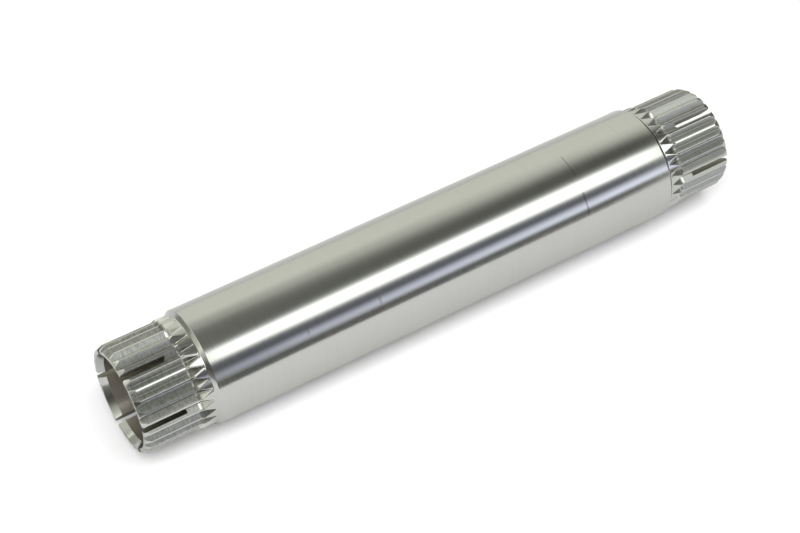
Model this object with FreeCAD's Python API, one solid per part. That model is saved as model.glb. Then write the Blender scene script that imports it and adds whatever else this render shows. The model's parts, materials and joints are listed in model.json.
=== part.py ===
import FreeCAD, Part
import math
import os

# Crank spindle, turned from one aluminium bar, in millimetres.
# It stands on one end. The axis is +Z, and the origin is the centre of the lower end face.

# Body
BODY_DIAMETER = 30.0
BODY_LENGTH = 132.0

# Shoulders, the bevels that lead from the body down to the narrow plain rings beside the teeth
SHOULDER_BEVEL_LENGTH = 0.9
SHOULDER_STEP = 0.8

# Splined ends, whose lengths count from the shoulder edge of the body
# The teeth are turned down a little, as far as the place where their grooves begin to run out
END_LENGTH = 19.75
TOPPING_STEP = 0.3
TOPPING_STOP = 5.3
TOPPING_RAMP_LENGTH = 0.85
LEAD_IN_LENGTH = 1.4
LEAD_IN_DEPTH = 0.65

# Bore and mouths
WALL_UNDER_GROOVES = 1.4
MOUTH_BEVEL_WIDTH = 0.8
MOUTH_BEVEL_DEPTH = 1.75

# V grooves between the teeth, whose depth counts from the plain ring
GROOVE_COUNT = 30
GROOVE_DEPTH = 1.4
TOOTH_CREST_WIDTH = 0.55
GROOVE_ROOT_WIDTH = 0.16

# Run-outs, where each groove curves up and then ramps straight out to a point on the plain ring
RUN_OUT_RADIUS = 4.4
RUN_OUT_ANGLE = 24.0
RING_WIDTH_AT_GROOVE_TIPS = 0.3

# Saw slits through the wall of each end
SLIT_COUNT = 6
SLIT_WIDTH = 1.5
SLIT_LENGTH = 11.4

# How far cutting tools reach past the metal
TOOL_CLEARANCE = 0.5

OVERALL_LENGTH = BODY_LENGTH + 2 * END_LENGTH
BODY_RADIUS = BODY_DIAMETER / 2
RING_RADIUS = BODY_RADIUS - SHOULDER_STEP
TOOTH_RADIUS = RING_RADIUS - TOPPING_STEP
ROOT_RADIUS = RING_RADIUS - GROOVE_DEPTH
BORE_RADIUS = ROOT_RADIUS - WALL_UNDER_GROOVES
AXIS = FreeCAD.Vector(0, 0, 1)
CENTRE = FreeCAD.Vector(0, 0, 0)


def lower_corners():
    """Radius and height of each corner of the section at the lower end, from the bore out to the body."""
    return [
        (BORE_RADIUS, MOUTH_BEVEL_DEPTH),
        (BORE_RADIUS + MOUTH_BEVEL_WIDTH, 0),
        (TOOTH_RADIUS - LEAD_IN_DEPTH, 0),
        (TOOTH_RADIUS, LEAD_IN_LENGTH),
        (TOOTH_RADIUS, END_LENGTH - TOPPING_STOP),
        (RING_RADIUS, END_LENGTH - TOPPING_STOP + TOPPING_RAMP_LENGTH),
        (RING_RADIUS, END_LENGTH - SHOULDER_BEVEL_LENGTH),
        (BODY_RADIUS, END_LENGTH),
    ]


def turned_tube():
    """The tube as it leaves the lathe: body, shoulders, turned teeth, bevelled mouths and through bore."""
    lower = lower_corners()
    upper = [(radius, OVERALL_LENGTH - height) for radius, height in reversed(lower)]
    corners = [FreeCAD.Vector(radius, 0, height) for radius, height in lower + upper]
    section = Part.Face(Part.makePolygon(corners + corners[:1]))
    return section.revolve(CENTRE, AXIS, 360)


def groove_section(height):
    """The V of the cutter, drawn level at a height on the +X side. It leaves the crest width on each tooth."""
    corner_angle = math.pi / GROOVE_COUNT - TOOTH_CREST_WIDTH / TOOTH_RADIUS / 2
    corner_distance = TOOTH_RADIUS * math.cos(corner_angle)
    half_mouth = TOOTH_RADIUS * math.sin(corner_angle)
    half_root = GROOVE_ROOT_WIDTH / 2
    flank_slope = (half_mouth - half_root) / (corner_distance - ROOT_RADIUS)
    rim = RING_RADIUS + TOOL_CLEARANCE
    half_rim = half_root + flank_slope * (rim - ROOT_RADIUS)
    corners = [
        FreeCAD.Vector(ROOT_RADIUS, -half_root, height),
        FreeCAD.Vector(ROOT_RADIUS, half_root, height),
        FreeCAD.Vector(rim, half_rim, height),
        FreeCAD.Vector(rim, -half_rim, height),
    ]
    return Part.Face(Part.makePolygon(corners + corners[:1]))


def groove_cut():
    """What the cutter removes for one groove of the lower end: a straight V, a round rise and a ramp."""
    turn = math.radians(RUN_OUT_ANGLE)
    round_run = RUN_OUT_RADIUS * math.sin(turn)
    round_rise = RUN_OUT_RADIUS * (1 - math.cos(turn))
    ramp_run = (GROOVE_DEPTH - round_rise) / math.tan(turn)
    tip = END_LENGTH - SHOULDER_BEVEL_LENGTH - RING_WIDTH_AT_GROOVE_TIPS
    stop = tip - ramp_run - round_run
    straight = groove_section(-TOOL_CLEARANCE).extrude(AXIS * (stop + TOOL_CLEARANCE))

    # The rise turns about a line across the groove, and the ramp ends on the ring, a little past the tip
    turning_centre = FreeCAD.Vector(ROOT_RADIUS + RUN_OUT_RADIUS, 0, stop)
    across = FreeCAD.Vector(0, 1, 0)
    rise = groove_section(stop).revolve(turning_centre, across, RUN_OUT_ANGLE)
    ramp_start = groove_section(stop)
    ramp_start.rotate(turning_centre, across, RUN_OUT_ANGLE)
    ramp_length = (ramp_run + RING_WIDTH_AT_GROOVE_TIPS / 3) / math.cos(turn)
    ramp = ramp_start.extrude(FreeCAD.Vector(math.sin(turn), 0, math.cos(turn)) * ramp_length)
    return straight.fuse([rise, ramp]).removeSplitter()


def slit_cut():
    """What the saw removes for one slit of the lower end, on the +X side, from the bore out through the wall."""
    return Part.makeBox(
        RING_RADIUS + TOOL_CLEARANCE,
        SLIT_WIDTH,
        SLIT_LENGTH + TOOL_CLEARANCE,
        FreeCAD.Vector(0, -SLIT_WIDTH / 2, -TOOL_CLEARANCE),
    )


def around_axis(shape, count):
    """Copies of a shape, evenly spaced round the spindle's axis."""
    copies = []
    for index in range(count):
        copy = shape.copy()
        copy.rotate(CENTRE, AXIS, index * 360 / count)
        copies.append(copy)
    return copies


def on_upper_end(shape):
    """The mirror image of a lower-end cut, at the upper end."""
    return shape.mirror(FreeCAD.Vector(0, 0, OVERALL_LENGTH / 2), AXIS)


def spindle():
    """The finished spindle, one solid. Each slit lies in the middle of a groove."""
    cuts = around_axis(groove_cut(), GROOVE_COUNT) + around_axis(slit_cut(), SLIT_COUNT)
    cuts += [on_upper_end(cut) for cut in cuts]
    return turned_tube().cut(cuts)


os.makedirs("parts", exist_ok=True)
part = spindle()
part.exportStep("parts/spindle.step")
print("solids", len(part.Solids), "valid", part.isValid(), "volume", round(part.Volume, 1))
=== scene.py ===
import json
import math

import bmesh
import bpy
import numpy as np
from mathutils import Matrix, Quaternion, Vector


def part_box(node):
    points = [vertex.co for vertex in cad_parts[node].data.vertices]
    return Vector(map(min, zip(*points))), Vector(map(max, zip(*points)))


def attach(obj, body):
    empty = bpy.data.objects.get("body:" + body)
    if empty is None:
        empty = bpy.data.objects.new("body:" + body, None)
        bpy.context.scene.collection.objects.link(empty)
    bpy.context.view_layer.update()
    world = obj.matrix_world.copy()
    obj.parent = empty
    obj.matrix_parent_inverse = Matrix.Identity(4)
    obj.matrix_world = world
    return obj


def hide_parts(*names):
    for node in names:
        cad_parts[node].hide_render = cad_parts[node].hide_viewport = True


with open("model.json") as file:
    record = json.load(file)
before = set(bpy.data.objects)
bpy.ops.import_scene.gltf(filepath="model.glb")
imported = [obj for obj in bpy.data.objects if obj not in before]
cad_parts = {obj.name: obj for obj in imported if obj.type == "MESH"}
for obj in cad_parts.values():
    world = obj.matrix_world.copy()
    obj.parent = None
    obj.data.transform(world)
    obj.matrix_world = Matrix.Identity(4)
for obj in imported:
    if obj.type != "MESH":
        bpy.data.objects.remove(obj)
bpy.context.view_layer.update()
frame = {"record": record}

# The spindle: one aluminium bar, turned and bored to a tube, with stepped-down ends.
# A V cutter mills the grooves of each end, which curve up and ramp out on a plain ring.
# The teeth are then turned down as far as the run-outs, and a saw slits the wall. All in millimetres.
MM = 0.001
mounts = {mount["name"]: mount for mount in frame["record"]["mounts"]}
spindle_low, spindle_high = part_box("spindle")
LENGTH = (spindle_high.z - spindle_low.z) / MM
BODY_LENGTH = mounts["bearing_seat"]["dims"]["length_mm"]
BODY_RADIUS = mounts["bearing_seat"]["dims"]["r_mm"]
BORE_RADIUS = mounts["bore"]["dims"]["r_mm"]
END_LENGTH = (LENGTH - BODY_LENGTH) / 2
MOUTH_BEVEL_DEPTH = (LENGTH - mounts["bore"]["dims"]["length_mm"]) / 2
MOUTH_RADIUS = 12.2
LEAD_IN_RADIUS = 13.25
LEAD_IN_LENGTH = 1.4
TOOTH_RADIUS = 13.9
TOPPING_STOP = 5.3
TOPPING_RAMP_LENGTH = 0.85
RING_RADIUS = 14.2
RING_WIDTH = 0.3
SHOULDER_BEVEL_LENGTH = 0.9
GROOVES = 30
GROOVE_DEPTH = 1.4
CREST_WIDTH = 0.55
ROOT_WIDTH = 0.16
RUN_OUT_RADIUS = 4.4
RUN_OUT_TURN = math.radians(24)
SLITS = 6
SLIT_WIDTH = 1.5
SLIT_LENGTH = 11.4
EDGE_BREAK = 0.08

# How finely the metal is drawn: half a groove and half a crest make eight columns of the mesh.
# On a flank the second point lies at a share of its width, or beside the slit where there is one.
# At a crest's edge the flank is cut back sideways by a share of the setback.
COLUMNS = 8
CREST_POINTS = 4
SLIT_COLUMNS = 2
FLANK_COLUMNS = 5
FLANK_SHARE = 0.33
SETBACK_SHARE = 0.6
RUN_OUT_LEVELS = 16
PLAIN_LEVELS = (5.0, 8.0, 13.0)
STRETCH_LEVELS = 4
HALVINGS = 40
WELD_DISTANCE = 0.0005
SHARP_ANGLE = math.radians(24)

half_pitch = math.pi / GROOVES
root_radius = RING_RADIUS - GROOVE_DEPTH
half_root = ROOT_WIDTH / 2
corner_angle = half_pitch - CREST_WIDTH / TOOTH_RADIUS / 2
half_mouth = TOOTH_RADIUS * math.sin(corner_angle)
flank_rise = (TOOTH_RADIUS * math.cos(corner_angle) - root_radius) / (half_mouth - half_root)
topping_end = END_LENGTH - TOPPING_STOP
ramp_end = topping_end + TOPPING_RAMP_LENGTH
ring_edge = END_LENGTH - SHOULDER_BEVEL_LENGTH
groove_tip = ring_edge - RING_WIDTH
round_rise = RUN_OUT_RADIUS * (1 - math.cos(RUN_OUT_TURN))
ramp_run = (GROOVE_DEPTH - round_rise) / math.tan(RUN_OUT_TURN)
groove_stop = groove_tip - ramp_run - RUN_OUT_RADIUS * math.sin(RUN_OUT_TURN)
mid_length = LENGTH / 2


def eased(points, setback):
    """A chain of straight lines with each inner corner cut back and rounded by one point."""
    chain = [points[0]]
    for before, corner, after in zip(points, points[1:], points[2:]):
        corner = np.array(corner)
        into = (np.array(before) - corner) / np.linalg.norm(np.array(before) - corner)
        onward = (np.array(after) - corner) / np.linalg.norm(np.array(after) - corner)
        start, end = corner + into * setback, corner + onward * setback
        chain += [tuple(start), tuple((start + 2 * corner + end) / 4), tuple(end)]
    return chain + [points[-1]]


mouth_corners = eased([
    (0, LEAD_IN_RADIUS),
    (0, MOUTH_RADIUS),
    (MOUTH_BEVEL_DEPTH, BORE_RADIUS),
], EDGE_BREAK)[1:]
lead_in_corners = eased([
    (0, MOUTH_RADIUS),
    (0, LEAD_IN_RADIUS),
    (LEAD_IN_LENGTH, TOOTH_RADIUS),
    (topping_end, TOOTH_RADIUS),
    (ramp_end, RING_RADIUS),
    (ring_edge, RING_RADIUS),
], EDGE_BREAK)[1:]
shoulder_corners = eased([
    (ring_edge, RING_RADIUS),
    (END_LENGTH, BODY_RADIUS),
    (mid_length, BODY_RADIUS),
], EDGE_BREAK)
outline = np.array(lead_in_corners + shoulder_corners[1:])
mouth_outline = np.array(mouth_corners)


def outer_radius(height):
    """Radius of the turned outside at a height above the end face."""
    return float(np.interp(height, outline[:, 0], outline[:, 1]))


def inner_radius(height):
    """Radius of the mouth bevel and the bore at a height above the end face."""
    return float(np.interp(height, mouth_outline[:, 0], mouth_outline[:, 1]))


def groove_surface(offset, height):
    """Distance of a groove's surface from the spindle's axis, at an offset from the groove's middle."""
    rise = max(0.0, abs(offset) - half_root) * flank_rise
    past_stop = max(0.0, height - groove_stop)
    reach = RUN_OUT_RADIUS - rise
    if past_stop <= reach * math.sin(RUN_OUT_TURN):
        return root_radius + RUN_OUT_RADIUS - math.sqrt(reach ** 2 - past_stop ** 2)
    up_the_ramp = past_stop - reach * math.sin(RUN_OUT_TURN)
    ramp_foot = root_radius + RUN_OUT_RADIUS - reach * math.cos(RUN_OUT_TURN)
    return ramp_foot + up_the_ramp * math.tan(RUN_OUT_TURN)


def groove_half_width(height):
    """Offset at which the groove's flank meets the turned outside, or nothing where there is no groove."""
    radius = outer_radius(height)
    if height > groove_tip or groove_surface(half_root, height) ** 2 + half_root ** 2 > radius ** 2:
        return 0.0
    low, high = half_root, radius * math.sin(half_pitch)
    for _ in range(HALVINGS):
        middle = (low + high) / 2
        inside = groove_surface(middle, height) ** 2 + middle ** 2 < radius ** 2
        low, high = (middle, high) if inside else (low, middle)
    return low


def evenly_round(radius, first_offset, count):
    """Points on a circle, from an offset beside the groove's middle to the middle of the next crest."""
    angles = np.linspace(math.asin(first_offset / radius), half_pitch, count)
    return [(radius * math.cos(angle), radius * math.sin(angle)) for angle in angles]


def half_groove_section(height, slit):
    """Points across half a groove and half a crest, from the groove's middle outwards."""
    radius = outer_radius(height)
    width = groove_half_width(height)
    wall = SLIT_WIDTH / 2 if slit and height <= SLIT_LENGTH else 0.0
    if width <= max(wall, half_root):
        if wall:
            beside_slit = evenly_round(radius, wall, CREST_POINTS)
            gathered = (COLUMNS - 1 - CREST_POINTS) * beside_slit[:1]
            return [(radius, 0.0), (radius, half_root)] + gathered + beside_slit
        return evenly_round(radius, 0.0, COLUMNS + 1)
    edge_angle = math.asin(width / radius)
    crest_left = radius * (half_pitch - edge_angle)
    setback = min(EDGE_BREAK, (width - max(wall, half_root)) / 2, crest_left / 2)
    flank_end = width - setback * SETBACK_SHARE
    share = (SLIT_WIDTH / 2 - half_root) / (half_mouth - half_root) if slit else FLANK_SHARE
    second = wall if wall else half_root + share * (flank_end - half_root)
    offsets = [0.0, half_root, second, (second + flank_end) / 2, flank_end]
    flank = [(groove_surface(offset, height), offset) for offset in offsets]
    crest_start = edge_angle + setback / radius
    crest_angles = [crest_start, (crest_start + half_pitch) / 2, half_pitch]
    crest = [(radius * math.cos(angle), radius * math.sin(angle)) for angle in crest_angles]
    edge = (radius * math.cos(edge_angle), width)
    eased_edge = tuple((np.array(flank[-1]) + 2 * np.array(edge) + np.array(crest[0])) / 4)
    return flank + [eased_edge] + crest


def half_bore_section(height, slit):
    """Points of the inner wall beside half a groove, in step with the points outside."""
    radius = inner_radius(height)
    if not slit:
        return evenly_round(radius, 0.0, COLUMNS + 1)
    middle = [(math.sqrt(radius ** 2 - offset ** 2), offset) for offset in (0.0, half_root)]
    return middle + evenly_round(radius, SLIT_WIDTH / 2, COLUMNS - 1)


def whole_ring(half_section, height):
    """One level of the tube: the section beside each groove, mirrored and turned round the axis."""
    ring = []
    for groove in range(GROOVES):
        slit = groove % (GROOVES // SLITS) == 0
        half = half_section(height, slit)
        across = [(x, -y) for x, y in reversed(half[1:])] + half
        turn = 2 * math.pi * groove / GROOVES
        for x, y in across[:-1]:
            ring.append((
                x * math.cos(turn) - y * math.sin(turn),
                x * math.sin(turn) + y * math.cos(turn),
                height,
            ))
    return ring


def where(function, goal, low, high):
    """The height between two limits at which a rising function reaches a goal."""
    for _ in range(HALVINGS):
        middle = (low + high) / 2
        low, high = (middle, high) if function(middle) < goal else (low, middle)
    return high


slit_edge_radius = math.hypot(groove_surface(SLIT_WIDTH / 2, 0), SLIT_WIDTH / 2)
slit_edge_start = where(outer_radius, slit_edge_radius, 0, LEAD_IN_LENGTH)
levels = sorted(
    {slit_edge_start, MOUTH_BEVEL_DEPTH, SLIT_LENGTH, groove_tip, *PLAIN_LEVELS}
    | set(np.linspace(0, slit_edge_start, STRETCH_LEVELS)[1:-1])
    | {point[0] for point in lead_in_corners[:-1]}
    | set(np.linspace(groove_stop, groove_tip, RUN_OUT_LEVELS))
    | {groove_tip + RING_WIDTH / 2}
    | {point[0] for point in shoulder_corners[:-1]}
    | set(np.linspace(END_LENGTH, mid_length, STRETCH_LEVELS)[1:])
)
slit_level = levels.index(SLIT_LENGTH)
mouth_level = levels.index(MOUTH_BEVEL_DEPTH)
stop_level = levels.index(min(levels, key=lambda level: abs(level - groove_stop)))
tip_level = levels.index(groove_tip)
slit_flank_level = levels.index(slit_edge_start)
lower_outside = np.array([whole_ring(half_groove_section, level) for level in levels])
lower_inside = np.array([whole_ring(half_bore_section, level) for level in levels])


def mirrored(lower):
    """Both halves of the tube, from the half below mid-length."""
    upper = lower[:-1][::-1].copy()
    upper[:, :, 2] = LENGTH - upper[:, :, 2]
    return np.concatenate([lower, upper])


outside = mirrored(lower_outside)
inside = mirrored(lower_inside)
LEVELS, ROUND = outside.shape[:2]
OUTSIDE, INSIDE = range(2)
TURNED, MILLED, RUN_OUT, SAWN, BORED, CHATTERED = range(6)


def from_nearer_end(gap):
    """Number of a gap between two levels, counted from the nearer end of the spindle."""
    return min(gap, LEVELS - 2 - gap)


def in_slit(gap, column):
    """Whether the cell in a gap between two levels lies in an open slit."""
    sector = 2 * COLUMNS * GROOVES // SLITS
    from_middle = (column % sector) - COLUMNS
    return from_nearer_end(gap) < slit_level and -SLIT_COLUMNS <= from_middle < SLIT_COLUMNS


def outside_finish(gap, column):
    """How the metal of one cell of the outside was cut. The upper end chattered, and has painted shade."""
    groove = column // (2 * COLUMNS)
    from_middle = column % (2 * COLUMNS) - COLUMNS
    start_level = slit_flank_level if groove % (GROOVES // SLITS) == 0 else 0
    on_flank = -FLANK_COLUMNS <= from_middle < FLANK_COLUMNS
    if not on_flank or not start_level <= from_nearer_end(gap) < tip_level:
        return TURNED
    if from_nearer_end(gap) >= stop_level:
        return RUN_OUT
    return MILLED if gap < LEVELS // 2 else CHATTERED


def point_number(side, level, column):
    """Number of a point in the mesh: outside points first, then inside points."""
    return side * LEVELS * ROUND + level * ROUND + column % ROUND


def face_along(side, gap, column):
    """A face of the outer or the inner wall, between two levels and two columns."""
    numbers = [
        point_number(side, gap, column),
        point_number(side, gap, column + 1),
        point_number(side, gap + 1, column + 1),
        point_number(side, gap + 1, column),
    ]
    return numbers if side == OUTSIDE else numbers[::-1]


def face_through(first, second):
    """A face through the wall, between two places that are each given by level and column."""
    return [
        point_number(OUTSIDE, *first),
        point_number(OUTSIDE, *second),
        point_number(INSIDE, *second),
        point_number(INSIDE, *first),
    ]


def level_face(level, column):
    """A face through the wall at one level, on an end of the tube or at the end of a slit."""
    return [
        point_number(OUTSIDE, level, column),
        point_number(INSIDE, level, column),
        point_number(INSIDE, level, column + 1),
        point_number(OUTSIDE, level, column + 1),
    ]


faces, finishes = [], []
for gap in range(LEVELS - 1):
    inside_finish = TURNED if from_nearer_end(gap) < mouth_level else BORED
    for column in range(ROUND):
        if in_slit(gap, column):
            continue
        for side, finish in ((OUTSIDE, outside_finish(gap, column)), (INSIDE, inside_finish)):
            faces.append(face_along(side, gap, column))
            finishes.append(finish)
        for neighbour, edge in ((column - 1, column), (column + 1, column + 1)):
            if in_slit(gap, neighbour):
                faces.append(face_through((gap, edge), (gap + 1, edge)))
                finishes.append(SAWN)

upper_slit_level = LEVELS - 1 - slit_level
for column in range(ROUND):
    for level, gap in ((0, 0), (LEVELS - 1, LEVELS - 2)):
        if not in_slit(gap, column):
            faces.append(level_face(level, column))
            finishes.append(TURNED)
    for level, gap in ((slit_level, slit_level - 1), (upper_slit_level, upper_slit_level)):
        if in_slit(gap, column):
            faces.append(level_face(level, column))
            finishes.append(SAWN)

points = np.concatenate([outside.reshape(-1, 3), inside.reshape(-1, 3)]) * MM
spindle_mesh = bpy.data.meshes.new("crank_spindle")
spindle_mesh.from_pydata([tuple(point) for point in points], [], faces)
spindle_mesh.polygons.foreach_set("material_index", finishes)

shape = bmesh.new()
shape.from_mesh(spindle_mesh)
bmesh.ops.delete(shape, geom=[vert for vert in shape.verts if not vert.link_faces], context="VERTS")
bmesh.ops.remove_doubles(shape, verts=shape.verts, dist=WELD_DISTANCE * MM)
bmesh.ops.recalc_face_normals(shape, faces=shape.faces)
shape.to_mesh(spindle_mesh)
open_edges = sum(1 for edge in shape.edges if len(edge.link_faces) != 2)
print("spindle faces", len(shape.faces), "open edges", open_edges)
shape.free()
spindle_mesh.shade_smooth()
spindle_mesh.set_sharp_from_angle(angle=SHARP_ANGLE)


def placed(name, data):
    """A new object of the scene."""
    thing = bpy.data.objects.new(name, data)
    bpy.context.scene.collection.objects.link(thing)
    return thing


spindle = placed("crank_spindle", spindle_mesh)

ALUMINIUM = (0.425, 0.43, 0.41)
# Painted shade: the milled flanks' metal is darker than the turned metal's, for the shade in the grooves.
MILLED_ALUMINIUM_IN_PAINTED_SHADE = (0.39, 0.395, 0.375)
# Painted shade: the chattered flanks of the upper end are darker still. Their chatter marks are real tool
# lines.
CHATTERED_ALUMINIUM_IN_PAINTED_SHADE = (0.345, 0.35, 0.33)
# Painted light: the run-out ramps' metal is a little lighter than the turned metal's.
RUN_OUT_ALUMINIUM_PAINTED_LIGHTER = (0.45, 0.45, 0.427)
# Painted shade: the sawn walls are nearly black, for the shade deep in the narrow slits.
SAWN_ALUMINIUM_IN_PAINTED_SHADE = (0.2, 0.195, 0.16)
# Painted light: the bore's metal is lighter and warmer than the outside's, brightening the shaded inside of
# the tube.
BORED_ALUMINIUM_PAINTED_LIGHTER = (0.68, 0.64, 0.585)
EDGE_TINT = (0.76, 0.76, 0.74)
GRAIN_TURN = 0.25
LINE_DETAIL = 4.0
LINE_ROUGHNESS = 0.6
FAINTEST_LINE = 0.3
DEEPEST_LINE = 0.7


def step(nodes, kind, operation):
    """A node that does one sum, on numbers or on vectors."""
    node = nodes.new("ShaderNodeMath" if kind == "number" else "ShaderNodeVectorMath")
    node.operation = operation
    return node


def following(nodes, links, lines, middle, spread):
    """A number that varies with the tool lines, by a spread on each side of its middle."""
    varied = nodes.new("ShaderNodeMapRange")
    varied.inputs["From Min"].default_value = FAINTEST_LINE
    varied.inputs["From Max"].default_value = DEEPEST_LINE
    varied.inputs["To Min"].default_value = middle - spread
    varied.inputs["To Max"].default_value = middle + spread
    links.new(lines.outputs["Fac"], varied.inputs["Value"])
    return varied.outputs["Result"]


def aluminium(
    name, base, tone_spread, roughness, roughness_spread, line_spacing, line_length, line_depth, grip
):
    """Cut aluminium, with tool lines round the axis. Their spacing, length and depth are in millimetres."""
    material = bpy.data.materials.new(name)
    material.use_nodes = True
    nodes, links = material.node_tree.nodes, material.node_tree.links
    shader = nodes["Principled BSDF"]
    shader.inputs["Metallic"].default_value = 1.0
    shader.inputs["Specular Tint"].default_value = (*EDGE_TINT, 1)
    shader.inputs["Anisotropic"].default_value = grip
    shader.inputs["Anisotropic Rotation"].default_value = GRAIN_TURN
    tangent = nodes.new("ShaderNodeTangent")
    tangent.direction_type = "RADIAL"
    tangent.axis = "Z"
    links.new(tangent.outputs["Tangent"], shader.inputs["Tangent"])
    place = nodes.new("ShaderNodeTexCoord")
    stretch = nodes.new("ShaderNodeMapping")
    across = 1 / (line_length * MM)
    stretch.inputs["Scale"].default_value = (across, across, 1 / (line_spacing * MM))
    links.new(place.outputs["Object"], stretch.inputs["Vector"])
    lines = nodes.new("ShaderNodeTexNoise")
    lines.inputs["Scale"].default_value = 1.0
    lines.inputs["Detail"].default_value = LINE_DETAIL
    lines.inputs["Roughness"].default_value = LINE_ROUGHNESS
    links.new(stretch.outputs["Vector"], lines.inputs["Vector"])
    links.new(following(nodes, links, lines, roughness, roughness_spread), shader.inputs["Roughness"])
    colour = step(nodes, "vector", "SCALE")
    colour.name = "metal_colour"
    colour.inputs[0].default_value = base
    links.new(following(nodes, links, lines, 1, tone_spread), colour.inputs["Scale"])
    links.new(colour.outputs["Vector"], shader.inputs["Base Color"])
    relief = nodes.new("ShaderNodeBump")
    relief.inputs["Strength"].default_value = 1.0
    relief.inputs["Distance"].default_value = line_depth * MM
    links.new(lines.outputs["Fac"], relief.inputs["Height"])
    links.new(relief.outputs["Normal"], shader.inputs["Normal"])
    return material


def scored_line(material, height, direction, half_angle, width, darkening):
    """A darker line worn part of the way round the body, at a height and on the side facing a direction."""
    nodes, links = material.node_tree.nodes, material.node_tree.links
    place = nodes.new("ShaderNodeTexCoord")
    parts = nodes.new("ShaderNodeSeparateXYZ")
    links.new(place.outputs["Object"], parts.inputs["Vector"])
    on_line = step(nodes, "number", "COMPARE")
    on_line.inputs[1].default_value = height * MM
    on_line.inputs[2].default_value = width / 2 * MM
    links.new(parts.outputs["Z"], on_line.inputs[0])
    facing = step(nodes, "vector", "DOT_PRODUCT")
    towards = math.radians(direction)
    facing.inputs[1].default_value = (math.cos(towards), math.sin(towards), 0)
    links.new(place.outputs["Object"], facing.inputs[0])
    on_side = step(nodes, "number", "GREATER_THAN")
    on_side.inputs[1].default_value = BODY_RADIUS * math.cos(math.radians(half_angle)) * MM
    links.new(facing.outputs["Value"], on_side.inputs[0])
    worn = step(nodes, "number", "MULTIPLY")
    links.new(on_line.outputs[0], worn.inputs[0])
    links.new(on_side.outputs[0], worn.inputs[1])
    left = nodes.new("ShaderNodeMapRange")
    left.inputs["To Min"].default_value = 1.0
    left.inputs["To Max"].default_value = 1 - darkening
    links.new(worn.outputs[0], left.inputs["Value"])
    dulled = step(nodes, "vector", "SCALE")
    links.new(nodes["metal_colour"].outputs["Vector"], dulled.inputs[0])
    links.new(left.outputs["Result"], dulled.inputs["Scale"])
    links.new(dulled.outputs["Vector"], nodes["Principled BSDF"].inputs["Base Color"])
    nodes["metal_colour"].name = "bare_colour"
    dulled.name = "metal_colour"


turned = aluminium(
    "turned_aluminium", base=ALUMINIUM, tone_spread=0.03, roughness=0.17, roughness_spread=0.03,
    line_spacing=0.35, line_length=70, line_depth=0.002, grip=0.7,
)
# The milled, chattered and sawn metals have painted shade in their bases; the run-out and bored metals have
# painted light.
milled = aluminium(
    "milled_aluminium_in_painted_shade", base=MILLED_ALUMINIUM_IN_PAINTED_SHADE, tone_spread=0.14, roughness=0.46, roughness_spread=0.06,
    line_spacing=0.5, line_length=1.6, line_depth=0.016, grip=0.3,
)
run_out = aluminium(
    "run_out_aluminium_painted_lighter", base=RUN_OUT_ALUMINIUM_PAINTED_LIGHTER, tone_spread=0.05, roughness=0.2, roughness_spread=0.03,
    line_spacing=0.6, line_length=20, line_depth=0.003, grip=0.3,
)
sawn = aluminium(
    "sawn_aluminium_in_painted_shade", base=SAWN_ALUMINIUM_IN_PAINTED_SHADE, tone_spread=0.2, roughness=0.5, roughness_spread=0.06,
    line_spacing=0.3, line_length=20, line_depth=0.02, grip=0.3,
)
bored = aluminium(
    "bored_aluminium_painted_lighter", base=BORED_ALUMINIUM_PAINTED_LIGHTER, tone_spread=0.04, roughness=0.32, roughness_spread=0.03,
    line_spacing=0.4, line_length=70, line_depth=0.001, grip=0.3,
)
chattered = aluminium(
    "chattered_aluminium_in_painted_shade", base=CHATTERED_ALUMINIUM_IN_PAINTED_SHADE, tone_spread=0.4, roughness=0.46, roughness_spread=0.08,
    line_spacing=0.34, line_length=1.6, line_depth=0.045, grip=0.3,
)
scored_line(turned, height=44.9, direction=-54, half_angle=13, width=0.5, darkening=0.2)
scored_line(turned, height=45.2, direction=-96, half_angle=12, width=0.5, darkening=0.32)
scored_line(turned, height=106.5, direction=-96.3, half_angle=3.5, width=0.7, darkening=0.16)
scored_line(turned, height=126.5, direction=-95, half_angle=3, width=0.5, darkening=0.14)
for finish in (turned, milled, run_out, sawn, bored, chattered):
    spindle_mesh.materials.append(finish)
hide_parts("spindle")
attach(spindle, "root")

# The ground: a sheet of white paper on which the spindle lies on its side in the photograph.
# The part stands on its end here, so the sheet stands upright against the side of its body.
# Its back is clear, so that the part is seen from every side.
GROUND_SIZE = 3.0
PAPER_WHITE = 0.76
PAPER_LIFT = 0.11
UP_ANGLE = math.radians(-42.15)
up = np.array([math.cos(UP_ANGLE), math.sin(UP_ANGLE), 0.0])
along = np.array([-math.sin(UP_ANGLE), math.cos(UP_ANGLE), 0.0])
ground_centre = -up * BODY_RADIUS * MM + np.array([0, 0, mid_length * MM])
ground_mesh = bpy.data.meshes.new("paper_ground")
reach = GROUND_SIZE / 2
ground_corners = [
    tuple(ground_centre + along * side * reach + np.array([0, 0, height * reach]))
    for side, height in ((-1, -1), (1, -1), (1, 1), (-1, 1))
]
ground_mesh.from_pydata(ground_corners, [], [(0, 1, 2, 3)])
ground = placed("paper_ground", ground_mesh)


def seen_directly(nodes, links):
    """One for what is seen straight on, in a reflection or through glass, and nothing for the rest."""
    path = nodes.new("ShaderNodeLightPath")
    seen = step(nodes, "number", "MAXIMUM")
    seen_or_glass = step(nodes, "number", "MAXIMUM")
    links.new(path.outputs["Is Camera Ray"], seen.inputs[0])
    links.new(path.outputs["Is Glossy Ray"], seen.inputs[1])
    links.new(seen.outputs[0], seen_or_glass.inputs[0])
    links.new(path.outputs["Is Transmission Ray"], seen_or_glass.inputs[1])
    return seen_or_glass.outputs[0]


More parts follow.
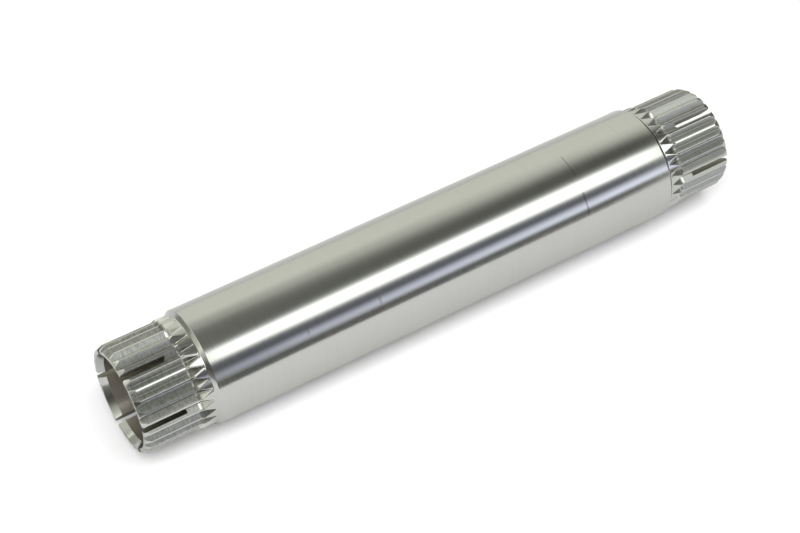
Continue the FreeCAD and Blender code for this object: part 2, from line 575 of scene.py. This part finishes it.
paper = bpy.data.materials.new("white_paper")
paper.use_nodes = True
nodes, links = paper.node_tree.nodes, paper.node_tree.links
nodes.remove(nodes["Principled BSDF"])
matt = nodes.new("ShaderNodeBsdfDiffuse")
matt.inputs["Color"].default_value = (PAPER_WHITE, PAPER_WHITE, PAPER_WHITE, 1)
lift = nodes.new("ShaderNodeEmission")
lift.inputs["Color"].default_value = (1, 1, 1, 1)
lift_strength = step(nodes, "number", "MULTIPLY")
lift_strength.inputs[1].default_value = PAPER_LIFT
links.new(seen_directly(nodes, links), lift_strength.inputs[0])
links.new(lift_strength.outputs[0], lift.inputs["Strength"])
both = nodes.new("ShaderNodeAddShader")
links.new(matt.outputs[0], both.inputs[0])
links.new(lift.outputs[0], both.inputs[1])
clear = nodes.new("ShaderNodeBsdfTransparent")
side_seen = nodes.new("ShaderNodeNewGeometry")
one_sided = nodes.new("ShaderNodeMixShader")
links.new(side_seen.outputs["Backfacing"], one_sided.inputs["Fac"])
links.new(both.outputs[0], one_sided.inputs[1])
links.new(clear.outputs[0], one_sided.inputs[2])
links.new(one_sided.outputs[0], nodes["Material Output"].inputs["Surface"])
ground_mesh.materials.append(paper)

# The studio: a long tent of cloth over the spindle, tinted and shaded along seams that run beside it.
# White cards and panels stand at its near end, dark flags close both ends, and a dark table lies on the
# camera's side. Only reflections show them. A soft box, which reflections leave out, lights the spindle.

# Lengths are in metres. Angles are in degrees from straight above the paper, growing towards the camera.
TENT_RADIUS = 0.8
FAR_END = -1.0
FAR_VEIL_END = -0.68
FAR_FLOOR = -0.40
NEAR_FLOOR = -0.06
TENT_END = 0.12
FRONT_VEIL_END = 0.25
CARDS_END = 0.52
NEAR_END = 2.4
BACK_EDGE = -60
FAR_FLAG_GREY = (0.25, 0.25, 0.24)
NEAR_FLAG_GREY = (0.3, 0.3, 0.29)
TABLE_GREY = (0.2, 0.2, 0.2)
TABLE_NEAR_EDGE = 0.25
TABLE_FAR_EDGE = 0.8
TABLE_LOW_END = -0.2
TABLE_HIGH_END = 0.5
TABLE_LIFT = 0.001
BOX_ANGLE = 23
BOX_HEIGHT = 0.30
BOX_WIDTH = 0.4
BOX_LENGTH = 1.2
BOX_POWER = 7.7
CREAM = (1.0, 1.01, 0.91)
WHITE = (0.98, 1.0, 0.98)
SKY = (0.95, 0.98, 1.17)

# Each seam has its angle and brightness at the near end, then at the far end, and the tint of its cloth
SEAMS = [
    ((-92, 1.20), (-92, 1.20), CREAM),
    ((-48, 1.21), (-40, 1.21), CREAM),
    ((-34, 0.76), (-26, 0.99), CREAM),
    ((-26, 0.60), (-18, 0.69), CREAM),
    ((-18, 0.35), (-10, 0.35), CREAM),
    ((-10, 0.28), (-2, 0.17), CREAM),
    ((10, 0.26), (9, 0.16), CREAM),
    ((17, 0.36), (16, 0.38), WHITE),
    ((22, 1.00), (20, 1.00), WHITE),
    ((26.7, 3.00), (25.3, 3.00), WHITE),
    ((41.3, 3.00), (43.6, 3.00), WHITE),
    ((46.2, 1.00), (48.2, 1.00), WHITE),
    ((50, 0.28), (52, 0.30), SKY),
    ((57, 0.19), (58, 0.22), SKY),
    ((61, 0.20), (61, 0.24), SKY),
    ((70, 0.80), (72.5, 1.85), SKY),
    ((75, 0.74), (77.5, 1.75), SKY),
    ((80, 0.45), (81, 0.45), WHITE),
    ((83, 0.18), (84, 0.22), WHITE),
    ((91.5, 0.20), (91.5, 0.22), WHITE),
]

# Angle and brightness of the plain cloths, which are cream
FRONT_VEIL = [
    (-92, 0.45), (-60, 0.45), (-45, 0.30), (-20, 0.24), (10, 0.22), (15, 0.18), (45, 0.22),
    (55, 0.20), (75, 0.36), (92, 0.50),
]
FRONT_CARD = [
    (-92, 2.2), (-24, 2.2), (-10, 1.3), (5, 1.2), (16, 1.6), (22, 1.1), (40, 1.0), (47, 0.10),
    (60, 0.25), (92, 0.30),
]
BACK_CARD = [(-92, 0.7), (-60, 0.6)]
END_PANELS = [
    (-92, 0.38), (-46, 0.42), (-36, 0.9), (-12, 1.0), (2, 1.7), (14, 1.0), (32, 0.6), (44, 0.2),
    (60, 0.12), (75, 0.22), (92, 0.35),
]
FAR_VEIL = [
    (-92, 0.80), (-75, 0.95), (-52, 1.05), (-30, 0.85), (-18, 1.00), (-4, 0.30), (9, 0.40),
    (20, 0.35), (38, 0.35), (52, 1.20), (64, 0.90), (75, 1.40), (85, 1.80), (92, 2.20),
]


def from_axis(angle, distance, height):
    """A place in the studio by its angle and distance from the spindle's axis, and its height."""
    out = up * math.cos(math.radians(angle)) - along * math.sin(math.radians(angle))
    return tuple(out * distance + np.array([0, 0, height]))


def seam_colour(angle, height):
    """Colour of the tent's cloth, which changes with height between the near floor and the far floor."""
    far_share = min(1.0, max(0.0, (NEAR_FLOOR - height) / (NEAR_FLOOR - FAR_FLOOR)))
    angles, colours = [], []
    for near, far, tint in SEAMS:
        brightness = near[1] + (far[1] - near[1]) * far_share
        angles.append(near[0] + (far[0] - near[0]) * far_share)
        colours.append([brightness * part for part in tint])
    return [float(np.interp(angle, angles, channel)) for channel in zip(*colours)]


def cloth(name, corners, cells, colours):
    """A glowing sheet that only the metal sees. Its colours are given at its corners."""
    mesh = bpy.data.meshes.new(name)
    mesh.from_pydata(corners, [], cells)
    dye = mesh.color_attributes.new("dye", "FLOAT_COLOR", "POINT")
    for point, colour in zip(dye.data, colours):
        point.color = (*colour, 1)
    sheet = placed(name, mesh)
    material = bpy.data.materials.new(name)
    material.use_nodes = True
    nodes, links = material.node_tree.nodes, material.node_tree.links
    nodes.remove(nodes["Principled BSDF"])
    dyed = nodes.new("ShaderNodeAttribute")
    dyed.attribute_name = "dye"
    glow = nodes.new("ShaderNodeEmission")
    glow.inputs["Strength"].default_value = 1.0
    links.new(dyed.outputs["Color"], glow.inputs["Color"])
    links.new(glow.outputs[0], nodes["Material Output"].inputs["Surface"])
    mesh.materials.append(material)
    sheet.visible_camera = False
    sheet.visible_diffuse = False
    sheet.visible_shadow = False


def tent_wall(name, angles, heights, colour_at):
    """Part of the tent's round wall."""
    corners = [from_axis(angle, TENT_RADIUS, height) for angle in angles for height in heights]
    colours = [colour_at(angle, height) for angle in angles for height in heights]
    across = len(heights)
    cells = []
    for row in range(len(angles) - 1):
        for column in range(across - 1):
            first = row * across + column
            cells.append((first, first + 1, first + across + 1, first + across))
    cloth(name, corners, cells, colours)


def shaded(shades):
    """Colour of a plain cloth whose brightness changes with the angle."""
    angles, brightness = zip(*shades)
    return lambda angle, height: [float(np.interp(angle, angles, brightness)) * part for part in CREAM]


ALL_ROUND = list(range(-92, 92)) + [91.5]
FRONT_AND_TOP = [angle for angle in ALL_ROUND if angle >= BACK_EDGE]
BACK = [angle for angle in ALL_ROUND if angle <= BACK_EDGE]
FLAG_RIM = range(-90, 91, 10)
tent_wall("tent", ALL_ROUND, (FAR_VEIL_END, FAR_FLOOR, NEAR_FLOOR, TENT_END), seam_colour)
tent_wall("front_veil", FRONT_AND_TOP, (TENT_END, FRONT_VEIL_END), shaded(FRONT_VEIL))
tent_wall("front_card", FRONT_AND_TOP, (FRONT_VEIL_END, CARDS_END), shaded(FRONT_CARD))
tent_wall("back_card", BACK, (TENT_END, CARDS_END), shaded(BACK_CARD))
tent_wall("end_panels", ALL_ROUND, (CARDS_END, NEAR_END), shaded(END_PANELS))
tent_wall("far_veil", ALL_ROUND, (FAR_END, FAR_VEIL_END), shaded(FAR_VEIL))
for name, height, grey in (("far_flag", FAR_END, FAR_FLAG_GREY), ("near_flag", NEAR_END, NEAR_FLAG_GREY)):
    rim = [from_axis(angle, TENT_RADIUS, height) for angle in FLAG_RIM]
    cloth(name, rim, [tuple(range(len(rim)))], [grey] * len(rim))

table_places = [
    (TABLE_NEAR_EDGE, TABLE_LOW_END),
    (TABLE_FAR_EDGE, TABLE_LOW_END),
    (TABLE_FAR_EDGE, TABLE_HIGH_END),
    (TABLE_NEAR_EDGE, TABLE_HIGH_END),
]
table_drop = up * (BODY_RADIUS * MM - TABLE_LIFT)
table_corners = [
    tuple(np.array(from_axis(90, distance, height)) - table_drop)
    for distance, height in table_places
]
cloth("dark_table", table_corners, [(0, 1, 2, 3)], [TABLE_GREY] * 4)

key_light = bpy.data.lights.new("soft_box", "AREA")
key_light.shape = "RECTANGLE"
key_light.size = BOX_WIDTH
key_light.size_y = BOX_LENGTH
key_light.energy = BOX_POWER
soft_box = placed("soft_box", key_light)
soft_box.location = from_axis(BOX_ANGLE, TENT_RADIUS, BOX_HEIGHT)
soft_box.rotation_mode = "QUATERNION"
box_face = Vector(from_axis(BOX_ANGLE, 1.0, 0.0))
soft_box.rotation_quaternion = box_face.to_track_quat("Z", "Y")
soft_box.visible_camera = False
soft_box.visible_glossy = False

# The room: plain white walls all round, which light the paper and the spindle's shadow evenly.
# Seen straight on, in a reflection or through glass they are full white. Their light is a little less.
ROOM_FILL = 0.75
world = bpy.data.worlds.new("white_room")
bpy.context.scene.world = world
world.use_nodes = True
nodes, links = world.node_tree.nodes, world.node_tree.links
nodes["Background"].inputs["Color"].default_value = (1, 1, 1, 1)
brightness = nodes.new("ShaderNodeMapRange")
brightness.inputs["To Min"].default_value = ROOM_FILL
brightness.inputs["To Max"].default_value = 1.0
links.new(seen_directly(nodes, links), brightness.inputs["Value"])
links.new(brightness.outputs["Result"], nodes["Background"].inputs["Strength"])

# The camera looks at the spindle's side from above the ground.
# It is turned so that the part lies across the picture.
# Its places are in metres, and its lens and film are in millimetres.
CAMERA_PLACE = (0.07816, -0.45416, 0.27164)
CAMERA_AIM = (0.00127, 0.00022, 0.09264)
CAMERA_ROLL = math.radians(-114.677)
LENS = 88.83
FILM_WIDTH = 36
NEAREST_SEEN = 0.01
camera_data = bpy.data.cameras.new("camera")
camera_data.sensor_width = FILM_WIDTH
camera_data.lens = LENS
camera_data.clip_start = NEAREST_SEEN
camera = placed("camera", camera_data)
bpy.context.scene.camera = camera
camera.location = CAMERA_PLACE
camera.rotation_mode = "QUATERNION"
toward = Vector(CAMERA_AIM) - Vector(CAMERA_PLACE)
camera.rotation_quaternion = toward.to_track_quat("-Z", "Y") @ Quaternion((0, 0, 1), CAMERA_ROLL)

bpy.context.scene.view_settings.view_transform = "Standard"
